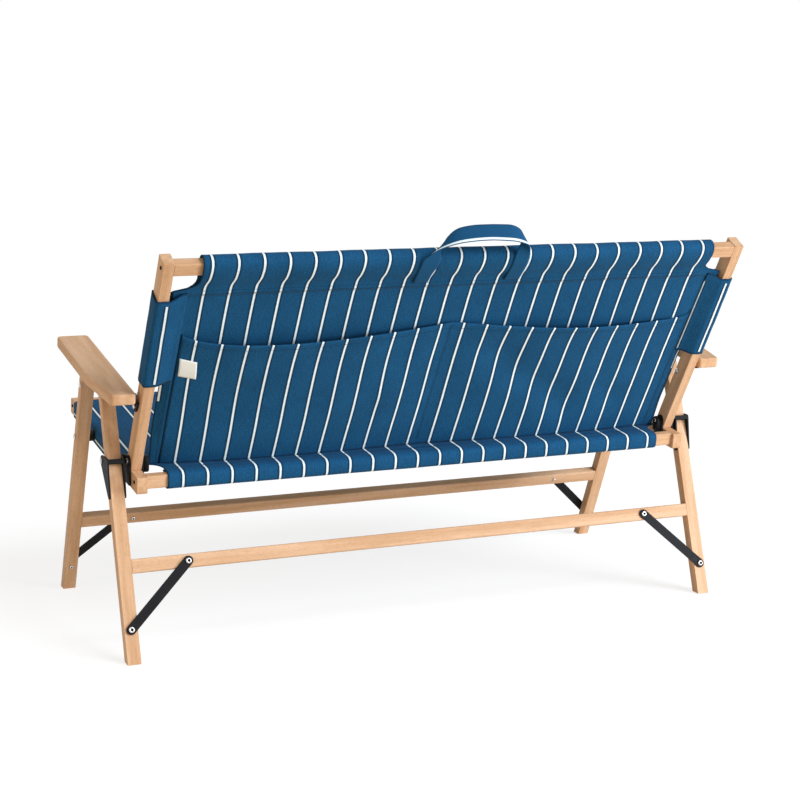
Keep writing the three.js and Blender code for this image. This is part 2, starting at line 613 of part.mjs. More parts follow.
// Carry handle: its legs lie on the top sleeve, then the band twists and arches flat over it
function handle() {
  const reach = HANDLE_SPAN / 2;
  const off = CLOTH_GAP + HANDLE_THICKNESS / 2;
  const place = (x, s, t) => new THREE.Vector3(x, s, t);
  const hem = place(reach, panelS + CLOTH + off, sleeveHem);
  const bend = place(reach, sleeveRear + off, topBarT);
  const foot = hem.clone().lerp(bend, HANDLE_FOOT / TOP_SLEEVE_DROP);
  const shoulder = place(reach, sleeveRear + off, BACK_RAIL_RISE + HANDLE_THICKNESS);
  const archS = sleeveRear + off - HANDLE_SETBACK;
  const arch = new THREE.CubicBezierCurve3(shoulder,
    place(reach, shoulder.y, shoulder.z + (HANDLE_TOP - shoulder.z) / 2),
    place(reach * 0.7, archS, HANDLE_TOP), place(0, archS, HANDLE_TOP));

  const rear = place(0, 1, 0);
  const section = (at, run, twist) => {
    const wide = place(run.z, 0, -run.x).normalize().multiplyScalar(Math.cos(twist))
      .addScaledVector(rear, Math.sin(twist));
    const through = run.clone().cross(wide).setLength(HANDLE_THICKNESS / 2);
    wide.multiplyScalar(HANDLE_BAND / 2);
    return [[1, 1], [1, -1], [-1, -1], [-1, 1]].map(([w, n]) =>
      at.clone().addScaledVector(wide, w).addScaledVector(through, n));
  };
  const rise = bend.clone().sub(foot).normalize();
  const steps = 16;
  const left = [section(foot, rise, 0), section(bend, rise.clone().add(place(0, 0, 1)).normalize(), 0)];
  for (let i = 0; i <= steps; i++) {
    const share = i / steps;
    const twist = THREE.MathUtils.smoothstep(share, 0, 0.8) * Math.PI / 2;
    left.push(section(arch.getPoint(share), arch.getTangent(share), twist));
  }
  const mirrored = left.slice(0, -1).reverse()
    .map((corners) => corners.map((corner) => corner.clone().setX(-corner.x)));
  return bandOf([...left, ...mirrored]);
}
add(backFrame, "carry_handle", handle(), cloth);

// The whole seat is centred over the origin
const middle = new THREE.Box3().setFromObject(loveseat, true).getCenter(new THREE.Vector3());
for (const group of loveseat.children) group.position.y -= middle.y;

export default loveseat;
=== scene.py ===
import json
import math

import bpy
from mathutils import Matrix, Vector, noise


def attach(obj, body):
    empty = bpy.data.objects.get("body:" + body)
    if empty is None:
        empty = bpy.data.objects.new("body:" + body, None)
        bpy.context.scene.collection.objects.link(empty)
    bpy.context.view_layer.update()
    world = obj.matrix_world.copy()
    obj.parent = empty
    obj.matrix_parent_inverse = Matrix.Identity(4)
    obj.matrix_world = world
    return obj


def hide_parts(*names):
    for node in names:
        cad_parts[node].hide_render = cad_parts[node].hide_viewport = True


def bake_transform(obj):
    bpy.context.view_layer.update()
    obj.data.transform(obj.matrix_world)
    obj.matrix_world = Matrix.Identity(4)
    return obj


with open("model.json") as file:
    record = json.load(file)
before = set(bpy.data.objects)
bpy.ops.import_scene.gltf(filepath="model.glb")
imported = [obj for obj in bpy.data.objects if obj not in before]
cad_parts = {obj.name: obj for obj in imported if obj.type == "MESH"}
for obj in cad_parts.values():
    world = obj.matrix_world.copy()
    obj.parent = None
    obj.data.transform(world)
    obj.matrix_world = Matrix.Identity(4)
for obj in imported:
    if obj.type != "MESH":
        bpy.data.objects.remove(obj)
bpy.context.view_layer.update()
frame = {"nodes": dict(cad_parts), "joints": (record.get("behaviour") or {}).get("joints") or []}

MM = 0.001

# Places and leans shared with the frame
JOINTS = {joint["name"]: Vector(joint["pos_m"]) for joint in frame["joints"]}
HINGE = JOINTS["back_fold"]
SEAT_PIVOT = JOINTS["front_leg_fold"]
REAR_LEG_PIVOT = JOINTS["rear_leg_fold"]
BACK_LEAN = -29.4
SEAT_SLOPE = -6.6
FRONT_LEG_LEAN = -22.7
REAR_LEG_LEAN = 19.1
ARM_SLOPE = -8.9

# Timber and ironwork, in millimetres
RAIL_INNER = 496.5
RAIL_OUTER = 514.5
LEG_CENTRE = 538.5
HALF_RAIL = 14
HINGE_PLATE_INNER = 493.2
STRAP_FOOT_Z = 50
STRAP_INNER_X = 433
FRONT_STRETCHER_Z = 141
REAR_STRETCHER_Z = 145.5

# Cloth, in millimetres
CLOTH = 1.1
PAINTED_EDGE_SHADE = (0.8, 3.2)  # painted shade along a sheet's side edges: dark as far as the first and fading by the second
STRIPE_PITCH = 42
STRIPE_FIRST = 439  # the stripe nearest the sitter's left
STRIPE_WIDTH = 3.55
STRIPES_REACH = 462  # no stripe lies further from the middle
# Where stretching puts the stripes, as (first, pitch)
CREASE_STRIPES = (437.5, 41.85)
MOUTH_STRIPES = (441, 41.93)
HEM_STRIPES = (441.1, 41.57)
SLEEVE_STRIPES = (438.5, 41.4)
SEAT_STRIPES = (436.3, 41.88)
PANEL_HALF = 483.5
PANEL_FOOT_HALF = 481.5
PANEL_FOOT_RUN = (10, 70)  # heights between which the panel widens to its full width
EDGE_CURL = 7  # how far the panel's sides turn forward below the tabs
CURL_RISE = (-8, 60)  # heights between which the curl sets in
CURL_FALL = (150, 185)  # and dies out
EDGE_STRIPES = (132, 184)  # where along the panel the stripes on its very edges show
SIDE_HEM = 17
HEM_STEP = (0.961, 0.965)  # where a side hem sets in, as shares of the half width
HEM_THICK = 0.9
SLEEVE_HALF = 453
FLARE_HALF = 491  # where the panel's upper corners reach the rails
FLARE_FOOT = 345
FLARE_TOP = 366
FLARE_RUN = 16  # height over which the panel widens to its flare
HEM_SEAM = 340
HEM_FOOT = 334
HEM_BEND = (42, 14)  # the stripes bend between these distances from the cloth's end
POCKET_HALF = 464
POCKET_TOP = 260
MOUTH_LEFT = (18.6, 0.625, 2.0)  # each mouth's sag, skew and roundness
MOUTH_RIGHT = (17, 0.404, 2.4)
LIP_LEFT = 5.5  # how far each mouth stands out beyond its pocket
LIP_RIGHT = 9
BELLY_LEFT = (10.5, 0.9)  # each pocket's fullness and how round it is
BELLY_RIGHT = (8, 1.2)
BELLY_SKEW = (0.7, 0.65, 110, 60)  # the left belly's lean, what is added, at which height and how far
LIP_RUN = 26  # depth below a mouth over which it stands out
POCKET_SEAM_X = 2.5
POCKET_REST = 1.5  # the sewn pocket's distance behind the panel
POCKET_BOW = 3.3
POCKET_FOOT = -12  # height at which the pocket meets the crease
CREASE_LEVEL = -11.2
CREASE_SLOPE = 0.42
POCKET_STRIPE_RUN = (60, 200)  # heights between which the pocket's stripes spread
FOLD_FADE = 40  # each fold fades over this length at both ends
# Slanting folds, as (start, end, depth, width) with places given as (x, height)
POCKET_FOLDS = [
    ((-55, 225), (-310, 28), 6, 34),
    ((-300, 125), (-405, 42), 3.4, 26),
    ((8, 262), (112, 80), -3, 24),
]
POCKET_HEM = 15
POCKET_HEM_GAP = 1.3
TAB_LAP = 467  # where a tab is sewn to the panel
TAB_TOP = 333
TAB_FOOT = 167
TAB_HEM = 9
TAB_EASE = {"inner": 1.6, "outer": 2, "front": 1.8, "rear": 1.6}  # from a tab to its rail
SEAT_SLEEVE_HALF = 462
SEAT_HALF = 490
SEAT_REAR_HOLLOW = (240, 26)  # where the hollow corners start, and over which length
SEAT_FRONT_HOLLOW = (-152, 30)
SLEEVE_EASE = 1.8
SLEEVE_RUN = (-148, 180)  # the stretch of a seat rail that its sleeve covers
SLEEVE_STRIPE = 24


def axes(origin, degrees):
    """Returns a function that places a point given across (x), along (s) and up (t) a leaning member."""
    cosine, sine = math.cos(math.radians(degrees)), math.sin(math.radians(degrees))

    def place(x, s, t):
        y = (s * cosine - t * sine) * MM
        z = (s * sine + t * cosine) * MM
        return Vector((x * MM, origin.y + y, origin.z + z))

    return place


on_back = axes(HINGE, BACK_LEAN)
on_seat = axes(SEAT_PIVOT, SEAT_SLOPE)
on_front_leg = axes(SEAT_PIVOT, FRONT_LEG_LEAN)
on_rear_leg = axes(REAR_LEG_PIVOT, REAR_LEG_LEAN)


# Small maths


def smooth_path(points, step, steps=None):
    """A Catmull-Rom curve through points, sampled about every step, or in equal steps between points."""
    knots = [Vector(p) for p in points]
    ends = [2 * knots[0] - knots[1], *knots, 2 * knots[-1] - knots[-2]]
    path = []
    for a, b, c, d in zip(ends, ends[1:], ends[2:], ends[3:]):
        count = steps or max(1, round((c - b).length / step))
        for i in range(count):
            t = i / count
            slope = (c - a) * t
            bend = (2 * a - 5 * b + 4 * c - d) * t**2
            twist = (3 * b - a - 3 * c + d) * t**3
            path.append(0.5 * (2 * b + slope + bend + twist))
    path.append(knots[-1])
    return path


def lengths(path):
    """Distance along a path at each of its points."""
    total = [0.0]
    for a, b in zip(path, path[1:]):
        total.append(total[-1] + (b - a).length)
    return total


def ramp(value, low, high):
    """0 below low, 1 above high, eased between."""
    t = min(max((value - low) / (high - low), 0.0), 1.0)
    return t * t * (3 - 2 * t)


def stripe_u(x, stripes):
    """The cloth's own width coordinate at x, where its stripes are stretched to (first, pitch)."""
    first, pitch = stripes
    return STRIPE_FIRST + (x - first) * STRIPE_PITCH / pitch


def ripple(x, y, scale, seed):
    """A smooth wave between -1 and 1 over two lengths in millimetres."""
    return noise.noise(Vector((x / scale, y / scale, seed)))


# Shader helpers


class Shader:
    """A node material with short calls for the nodes used here."""

    def __init__(self, name):
        self.material = bpy.data.materials.new(name)
        self.material.use_nodes = True
        self.tree = self.material.node_tree
        self.bsdf = self.tree.nodes["Principled BSDF"]

    def node(self, kind, **settings):
        made = self.tree.nodes.new(kind)
        for key, value in settings.items():
            setattr(made, key, value)
        return made

    def link(self, source, target):
        self.tree.links.new(source, target)

    def set(self, **values):
        for key, value in values.items():
            self.bsdf.inputs[key.replace("_", " ")].default_value = value

    def math(self, operation, first, second=None, third=None):
        made = self.node("ShaderNodeMath", operation=operation)
        for socket, value in zip(made.inputs, (first, second, third)):
            if isinstance(value, (int, float)):
                socket.default_value = value
            elif value is not None:
                self.link(value, socket)
        return made.outputs[0]

    def range(self, value, low, high, to_low, to_high, smooth=False):
        made = self.node("ShaderNodeMapRange")
        if smooth:
            made.interpolation_type = "SMOOTHSTEP"
        self.link(value, made.inputs["Value"])
        limits = {"From Min": low, "From Max": high, "To Min": to_low, "To Max": to_high}
        for name, number in limits.items():
            made.inputs[name].default_value = number
        return made.outputs[0]

    def mix(self, factor, first, second):
        made = self.node("ShaderNodeMix", data_type="RGBA")
        self.link(factor, made.inputs["Factor"])
        for socket, value in ((made.inputs[6], first), (made.inputs[7], second)):
            if isinstance(value, tuple):
                socket.default_value = (*value, 1)
            else:
                self.link(value, socket)
        return made.outputs[2]

    def noise(self, vector, scale, detail=3.0, roughness=0.5):
        made = self.node("ShaderNodeTexNoise")
        self.link(vector, made.inputs["Vector"])
        made.inputs["Scale"].default_value = scale
        made.inputs["Detail"].default_value = detail
        made.inputs["Roughness"].default_value = roughness
        return made.outputs["Fac"]

    def mapping(self, vector, rotation=(0, 0, 0), scale=(1, 1, 1)):
        made = self.node("ShaderNodeMapping")
        self.link(vector, made.inputs["Vector"])
        made.inputs["Rotation"].default_value = rotation
        made.inputs["Scale"].default_value = scale
        return made.outputs[0]

    def bump(self, height, strength, distance):
        made = self.node("ShaderNodeBump")
        made.inputs["Strength"].default_value = strength
        made.inputs["Distance"].default_value = distance
        self.link(height, made.inputs["Height"])
        self.link(made.outputs[0], self.bsdf.inputs["Normal"])

    def place(self):
        return self.node("ShaderNodeTexCoord").outputs["Object"]

    def cloth_place(self):
        split = self.node("ShaderNodeSeparateXYZ")
        self.link(self.node("ShaderNodeUVMap", uv_map="cloth").outputs[0], split.inputs[0])
        return split.outputs[0], split.outputs[1]


BEECH_LIGHT = (0.77, 0.495, 0.29)
BEECH_MID = (0.63, 0.365, 0.185)
BEECH_FLECK = (0.36, 0.18, 0.085)


def beech(name, degrees, grain):
    """Oiled beech with its grain along one axis of a member that leans by some degrees."""
    wood = Shader(name)
    stretch = tuple(0.06 if axis == grain else 1 for axis in "xyz")
    leaning = wood.mapping(wood.place(), rotation=(math.radians(-degrees), 0, 0))
    stretched = wood.mapping(leaning, scale=stretch)
    broad = wood.noise(stretched, 55, 4, 0.55)
    fine = wood.noise(stretched, 420, 3, 0.6)
    fleck_run = tuple(0.22 if axis == grain else 1 for axis in "xyz")
    flecks = wood.noise(wood.mapping(leaning, scale=fleck_run), 760, 2, 0.5)
    tone = wood.math("ADD", wood.math("MULTIPLY", broad, 0.75), wood.math("MULTIPLY", fine, 0.25))
    colour = wood.mix(wood.range(tone, 0.4, 0.6, 0, 1), BEECH_MID, BEECH_LIGHT)
    fleck_mask = wood.range(flecks, 0.57, 0.7, 0, 0.36)
    wood.link(wood.mix(fleck_mask, colour, BEECH_FLECK), wood.bsdf.inputs["Base Color"])
    wood.link(wood.range(fine, 0.3, 0.7, 0.46, 0.62), wood.bsdf.inputs["Roughness"])
    wood.set(Specular_IOR_Level=0.2)
    wood.bump(wood.math("ADD", fine, fleck_mask), 0.12, 0.0004)
    return wood.material


def black_iron():
    """Black powder coat, with the fine orange-peel of a sprayed finish."""
    iron = Shader("black_powder_coat")
    place = iron.place()
    peel = iron.noise(place, 1400, 2, 0.5)
    worn = iron.noise(place, 60, 4, 0.6)
    colour = iron.mix(iron.range(worn, 0.4, 0.75, 0, 1), (0.007, 0.007, 0.0075), (0.014, 0.014, 0.0145))
    iron.link(colour, iron.bsdf.inputs["Base Color"])
    iron.link(iron.range(worn, 0.3, 0.7, 0.5, 0.62), iron.bsdf.inputs["Roughness"])
    iron.set(Specular_IOR_Level=0.12)
    iron.bump(peel, 0.1, 0.0003)
    return iron.material


def bright_metal():
    """Nickel-plated rivets and screws with light handling marks."""
    metal = Shader("nickel_plate")
    marks = metal.noise(metal.place(), 500, 4, 0.6)
    metal.link(metal.range(marks, 0.3, 0.7, 0.2, 0.36), metal.bsdf.inputs["Roughness"])
    metal.link(metal.mix(marks, (0.56, 0.55, 0.53), (0.68, 0.67, 0.65)), metal.bsdf.inputs["Base Color"])
    metal.set(Metallic=1.0)
    return metal.material


BLUE = (0.0106, 0.104, 0.234)
BLUE_DEEP = (0.0058, 0.0585, 0.133)
BLUE_SHADE = (0.002, 0.016, 0.04)
STRIPE = (0.86, 0.99, 1.0)
THREAD_STEP = 0.0011


def weave(cloth, u, v, step):
    """Over-and-under height of a plain weave."""
    turn = 2 * math.pi / step
    across = cloth.math("SINE", cloth.math("MULTIPLY", u, turn))
    along = cloth.math("SINE", cloth.math("MULTIPLY", v, turn))
    return cloth.math("MULTIPLY", across, along)


def canvas(name, first, pitch, width, single=False, ends=None, edge=None):
    """Blue canvas with white stripes across u, or with a single one."""
    cloth = Shader(name)
    u, v = cloth.cloth_place()
    join = cloth.node("ShaderNodeCombineXYZ")
    cloth.link(u, join.inputs[0])
    cloth.link(v, join.inputs[1])
    place = join.outputs[0]
    wander = cloth.math("MULTIPLY", cloth.math("SUBTRACT", cloth.noise(place, 700, 2), 0.5), 0.0006)
    shifted = cloth.math("ADD", cloth.math("SUBTRACT", u, first * MM), wander)
    if single:
        away = cloth.math("ABSOLUTE", shifted)
    else:
        away = cloth.math("PINGPONG", shifted, pitch * MM / 2)
    half = width * MM / 2
    mask = cloth.range(away, half - 0.0004, half + 0.0004, 1, 0, smooth=True)
    border = cloth.range(away, half + 0.0012, half + 0.004, 0.85, 0)
    shown = cloth.math("LESS_THAN", cloth.math("ABSOLUTE", u), STRIPES_REACH * MM)
    # Stripes stay between ends along v, and those on the side hems show along edge
    if ends or edge:
        low, high = ends or edge
        along = cloth.math("GREATER_THAN", v, low * MM)
        along = cloth.math("MULTIPLY", along, cloth.math("LESS_THAN", v, high * MM))
        shown = along if ends else cloth.math("MAXIMUM", shown, along)
    mask = cloth.math("MULTIPLY", mask, shown)
    border = cloth.math("MULTIPLY", border, shown)
    threads = weave(cloth, u, v, THREAD_STEP)
    slub = cloth.noise(cloth.mapping(place, scale=(1, 0.08, 1)), 900, 2)
    grain = cloth.noise(place, 430, 2)
    cloud = cloth.noise(place, 14, 3)
    fine = cloth.math("ADD", cloth.math("MULTIPLY", slub, 0.35), cloth.math("MULTIPLY", grain, 0.45))
    shade = cloth.math("ADD", fine, cloth.math("MULTIPLY", cloud, 0.2))
    blue = cloth.mix(cloth.range(shade, 0.4, 0.6, 0, 1), BLUE_DEEP, BLUE)
    # Painted shade darkens the sheet's side edges, as set on its points
    rim = cloth.node("ShaderNodeAttribute", attribute_name="rim").outputs["Fac"]
    dark = cloth.math("MAXIMUM", border, cloth.math("MULTIPLY", rim, 0.85))
    blue = cloth.mix(dark, blue, BLUE_SHADE)
    cloth.link(cloth.mix(mask, blue, STRIPE), cloth.bsdf.inputs["Base Color"])
    cloth.link(cloth.range(slub, 0.3, 0.7, 0.78, 0.92), cloth.bsdf.inputs["Roughness"])
    cloth.set(Specular_IOR_Level=0.12, Sheen_Weight=0.03, Sheen_Roughness=0.4)
    cloth.bump(cloth.math("ADD", threads, cloth.math("MULTIPLY", mask, 0.8)), 0.25, 0.00025)
    return cloth.material


def webbing(name, lined):
    """Ribbed blue handle band; u runs 0 to 1 across it, and a lined face has a white line near u = 0."""
    band = Shader(name)
    u, v = band.cloth_place()
    ribs = band.math("SINE", band.math("MULTIPLY", v, 2 * math.pi / 0.0022))
    colour = band.mix(band.range(ribs, -1, 1, 0, 1), BLUE_DEEP, BLUE)
    if lined:
        away = band.math("ABSOLUTE", band.math("SUBTRACT", u, 0.09))
        mask = band.range(away, 0.065, 0.08, 1, 0, smooth=True)
        colour = band.mix(mask, colour, STRIPE)
    band.link(colour, band.bsdf.inputs["Base Color"])
    band.set(Roughness=0.85, Specular_IOR_Level=0.12, Sheen_Weight=0.03)
    band.bump(ribs, 0.3, 0.0003)
    return band.material


def plain_cloth(name, dark, light, step):
    """A small plain woven piece, such as a tag or sewing thread."""
    cloth = Shader(name)
    place = cloth.place()
    tone = cloth.noise(place, 1 / step, 3)
    colour = cloth.mix(cloth.range(tone, 0.35, 0.65, 0, 1), dark, light)
    cloth.link(colour, cloth.bsdf.inputs["Base Color"])
    cloth.set(Roughness=0.9, Specular_IOR_Level=0.2)
    cloth.bump(tone, 0.3, 0.0003)
    return cloth.material


# Finishes on the frame's own pieces
IRON = black_iron()
METAL = bright_metal()
WOODS = {
    "across": beech("beech_across", 0, "x"),
    "seat": beech("beech_seat_rail", SEAT_SLOPE, "y"),
    "back": beech("beech_back_rail", BACK_LEAN, "z"),
    "front_leg": beech("beech_front_leg", FRONT_LEG_LEAN, "z"),
    "rear_leg": beech("beech_rear_leg", REAR_LEG_LEAN, "z"),
    "arm": beech("beech_armrest", ARM_SLOPE, "y"),
}
WOOD_OF = {
    "seat_rail": "seat",
    "back_rail": "back",
    "front_leg": "front_leg",
    "rear_leg": "rear_leg",
    "armrest": "arm",
}


def finish_of(node):
    stem = node[:-2] if node[-2:] in ("_L", "_R") else node
    if stem in WOOD_OF:
        return WOODS[WOOD_OF[stem]]
    if stem.endswith("_bar") or stem.endswith("_stretcher"):
        return WOODS["across"]
    return METAL if "rivet" in stem else IRON


for node, piece in frame["nodes"].items():
    piece.data.materials.clear()
    piece.data.materials.append(finish_of(node))


# Mesh makers


def new_piece(name, verts, faces, material, uvs=None):
    """A mesh object; uvs holds one (u, v) in metres for each vertex."""
    mesh = bpy.data.meshes.new(name)
    mesh.from_pydata(verts, [], faces)
    if uvs:
        layer = mesh.uv_layers.new(name="cloth")
        for loop in mesh.loops:
            layer.data[loop.index].uv = uvs[loop.vertex_index]
    mesh.polygons.foreach_set("use_smooth", [True] * len(mesh.polygons))
    mesh.materials.append(material)
    piece = bpy.data.objects.new(name, mesh)
    bpy.context.scene.collection.objects.link(piece)
    return piece


def thicken(piece, thickness, under=None):
    """Gives a sheet its thickness, applied to the mesh; under is the material of its other face."""
    solid = piece.modifiers.new("thickness", "SOLIDIFY")
    if under:
        piece.data.materials.append(under)
        solid.material_offset = 1
    solid.thickness = thickness * MM
    solid.offset = 0
    solid.use_even_offset = False
    view = bpy.context.evaluated_depsgraph_get()
    mesh = bpy.data.meshes.new_from_object(piece.evaluated_get(view))
    piece.modifiers.clear()
    piece.data = mesh
    return piece


def grid_piece(name, rows, material, thickness=CLOTH, under=None):
    """A sheet from rows of (point, u, v), with u and v in millimetres; its side edges carry painted
    shade.
    """
    wide = len(rows[0])
    verts = [point for row in rows for point, u, v in row]
    uvs = [(u * MM, v * MM) for row in rows for point, u, v in row]
    faces = []
    for i in range(len(rows) - 1):
        for j in range(wide - 1):
            a = i * wide + j
            faces.append((a, a + 1, a + wide + 1, a + wide))
    piece = new_piece(name, verts, faces, material, uvs)
    # Painted shade along the two ends of each row
    shades = []
    for row in rows:
        along = lengths([point for point, u, v in row])
        shades += [1 - ramp(min(at, along[-1] - at) / MM, *PAINTED_EDGE_SHADE) for at in along]
    piece.data.attributes.new("rim", "FLOAT", "POINT").data.foreach_set("value", shades)
    return thicken(piece, thickness, under)


# A stitch's rings, as (place along it, share of its radius)
STITCH_RINGS = [(-0.5, 0.3), (-0.34, 1), (0.34, 1), (0.5, 0.3)]
STITCH_SIDES = 5


def stitches(name, lines, material, length=3.2, pitch=4.4, radius=0.35):
    """Sewing thread along lines of points, each stitch a short round-ended prism."""
    sides = STITCH_SIDES
    verts, faces = [], []
    for line in lines:
        along = lengths(line)
        at = pitch / 2
        index = 0
        while at + length / 2 < along[-1] / MM:
            while along[index + 1] / MM < at:
                index += 1
            a, b = line[index], line[index + 1]
            share = (at * MM - along[index]) / (along[index + 1] - along[index])
            middle = a.lerp(b, share)
            run = (b - a).normalized()
            side = run.orthogonal().normalized()
            up = run.cross(side)
            first = len(verts)
            for end, size in STITCH_RINGS:
                for k in range(sides):
                    angle = 2 * math.pi * k / sides
                    spoke = (side * math.cos(angle) + up * math.sin(angle)) * radius * size
                    verts.append(middle + (run * end * length + spoke) * MM)
            for ring in range(len(STITCH_RINGS) - 1):
                for k in range(sides):
                    p = first + ring * sides + k
                    q = first + ring * sides + (k + 1) % sides
                    faces.append((p, q, q + sides, p + sides))
            faces.append(tuple(first + k for k in reversed(range(sides))))
            faces.append(tuple(len(verts) - sides + k for k in range(sides)))
            at += pitch
    return new_piece(name, verts, faces, material)


STRIPED = canvas("striped_canvas", STRIPE_FIRST, STRIPE_PITCH, STRIPE_WIDTH)
WEBBING = webbing("handle_webbing", True)
WEBBING_UNDER = webbing("handle_webbing_under", False)
THREAD = plain_cloth("sewing_thread", (0.004, 0.035, 0.08), (0.008, 0.07, 0.155), 0.0006)
# Near-black painted shade for the screws' shallow sockets
SOCKET = plain_cloth("painted_socket_shade", (0.004, 0.004, 0.004), (0.012, 0.011, 0.01), 0.0004)
TAG_CLOTH = plain_cloth("tag_cotton", (0.86, 0.88, 0.78), (0.95, 0.97, 0.88), 0.0008)

HEM_COLUMNS = [sign * share for sign in (-1, 1) for share in (*HEM_STEP, 0.994)]
COLUMNS = sorted([i / 60 - 1 for i in range(121)] + HEM_COLUMNS)


# Back sling: a panel that rises from the crease, loops over the top bar and is sewn to itself at the hem

PANEL_PROFILE = [(-5, -14), (-4.2, 20), (-2, 120), (1, 220), (3.5, 320), (4.4, HEM_SEAM)]
LOOP_PROFILE = [
    (0.6, 358), (-4.6, 372), (-7, 386), (-6.2, 399), (-1.5, 406), (5, 407.4), (12, 405),
    (17, 398), (17.8, 387), (14.2, 371), (8.2, 357), (6.2, 348), (5.65, HEM_SEAM), (4.95, HEM_FOOT),
]


def panel_s(t):
    """How far behind the rails' centre line the back panel lies at height t."""
    for (s0, t0), (s1, t1) in zip(PANEL_PROFILE, PANEL_PROFILE[1:]):
        if t <= t1:
            return s0 + (s1 - s0) * (t - t0) / (t1 - t0)
    return PANEL_PROFILE[-1][0]


def panel_half(t):
    """Half the panel's width at height t, with the hollow corners under the top bar."""
    if t >= FLARE_TOP:
        return SLEEVE_HALF
    if t >= FLARE_FOOT:
        share = (FLARE_TOP - t) / (FLARE_TOP - FLARE_FOOT)
        return SLEEVE_HALF + (FLARE_HALF - SLEEVE_HALF) * (1 - math.sqrt(1 - share**2))
    flare = (FLARE_HALF - PANEL_HALF) * ramp(t, HEM_FOOT - FLARE_RUN, HEM_FOOT)
    return PANEL_HALF + flare + (PANEL_FOOT_HALF - PANEL_HALF) * (1 - ramp(t, *PANEL_FOOT_RUN))


def edge_curl(x, t):
    """How far the panel's side turns forward at this place, beside the pocket and below the tabs."""
    side = ramp(abs(x), POCKET_HALF, PANEL_HALF)
    return EDGE_CURL * side * ramp(t, *CURL_RISE) * (1 - ramp(t, *CURL_FALL))


def back_sheet():
    path = smooth_path(PANEL_PROFILE + LOOP_PROFILE, 5)
    along = lengths(path)
    rows = []
    for point, v in zip(path, along):
        s, t = point
        loop = ramp(v, HEM_SEAM + 20, HEM_SEAM + 60)
        row = []
        for column in COLUMNS:
            x = column * panel_half(t)
            soft = 0.5 * ripple(x, v, 70, 1.5) + loop * 1.1 * ripple(x, v * 0.6, 38, 4.5)
            soft *= ramp(abs(t - HEM_FOOT), 8, 32)
            soft += HEM_THICK * ramp(abs(column), *HEM_STEP) * (1 - loop)
            soft -= edge_curl(x, t)
            low = stripe_u(x, CREASE_STRIPES)
            high = stripe_u(x, HEM_STRIPES)
            u = low + (high - low) * ramp(t, 0, HEM_SEAM)
            u += (stripe_u(x, SLEEVE_STRIPES) - u) * ramp(v, HEM_SEAM + 10, HEM_SEAM + 60)
            u += (high - u) * ramp(v, along[-1] - HEM_BEND[0], along[-1] - HEM_BEND[1])
            row.append((on_back(x, s + soft, t), u, v))
        rows.append(row)
    striped = canvas("back_canvas", STRIPE_FIRST, STRIPE_PITCH, STRIPE_WIDTH, edge=EDGE_STRIPES)
    return grid_piece("back_canvas", rows, striped)


BACK_SHEET = back_sheet()
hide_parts("back_sling")


# Pocket: one sheet with two sagging mouths, sewn down the middle and along its sides


def pocket_share(x):
    """0 at a pocket's outer seam, 1 at the seam between the two."""
    side = 1 if x > POCKET_SEAM_X else -1
    return (POCKET_HALF - side * x) / (POCKET_HALF - side * POCKET_SEAM_X)


def mouth(x):
    """Height of the pocket's mouth."""
    sag, skew, power = MOUTH_LEFT if x > POCKET_SEAM_X else MOUTH_RIGHT
    share = pocket_share(x) ** skew
    return POCKET_TOP - sag * (1 - abs(2 * share - 1) ** power)


def pocket_fold(x, t):
    """Depth of the slanting folds in the pocket."""
    depth = 0.0
    for start, end, deep, wide in POCKET_FOLDS:
        run = Vector(end) - Vector(start)
        offset = Vector((x, t)) - Vector(start)
        along = offset.dot(run) / run.length
        away = offset.cross(run) / run.length
        ends = ramp(along, 0, FOLD_FADE) * ramp(run.length - along, 0, FOLD_FADE)
        depth += deep * ends * math.exp(-((away / wide) ** 2))
    return depth


def pocket_gap(x, t):
    """How far the pocket stands behind the panel."""
    lean, extra, middle, reach = BELLY_SKEW
    skew = lean + extra * math.exp(-(((t - middle) / reach) ** 2)) if x > POCKET_SEAM_X else 1
    full, power = BELLY_LEFT if x > POCKET_SEAM_X else BELLY_RIGHT
    share = min(max(pocket_share(x), 0), 1)
    belly = max(math.sin(math.pi * share**skew), 0) ** power
    bow = POCKET_BOW * (1 - (x / POCKET_HALF) ** 2)
    lip = (LIP_LEFT if x > POCKET_SEAM_X else LIP_RIGHT) * math.exp(-(mouth(x) - t) / LIP_RUN)
    soft = 0.5 * ripple(x * 1.3, t * 0.35, 46, 9.5)
    return POCKET_REST + bow + belly * (full + lip + soft) - min(1, 1.5 * belly) * pocket_fold(x, t)


def pocket_foot(x):
    """Height at which the pocket meets the seat cloth."""
    return CREASE_LEVEL + CREASE_SLOPE * (panel_s(POCKET_FOOT) + pocket_gap(x, POCKET_FOOT))


def pocket_sheet():
    rows = []
    count = 64
    for i in range(count + 1):
        row = []
        for column in COLUMNS:
            x = column * POCKET_HALF
            foot = pocket_foot(x)
            t = foot + (mouth(x) - foot) * i / count
            low, high = stripe_u(x, CREASE_STRIPES), stripe_u(x, MOUTH_STRIPES)
            u = low + (high - low) * ramp(t, *POCKET_STRIPE_RUN)
            row.append((on_back(x, panel_s(t) + pocket_gap(x, t), t), u, t))
        rows.append(row)
    for drop in (0.6, 4, 9, POCKET_HEM):
        row = []
        for column in COLUMNS:
            x = column * POCKET_HALF
            t = mouth(x) - drop
            s = panel_s(t) + pocket_gap(x, t) - POCKET_HEM_GAP
            row.append((on_back(x, s, t), stripe_u(x, MOUTH_STRIPES), mouth(x) + drop))
        rows.append(row)
    return grid_piece("pocket_canvas", rows, STRIPED)


POCKET = pocket_sheet()
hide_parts("pocket_panel")


# Tabs round the back rails


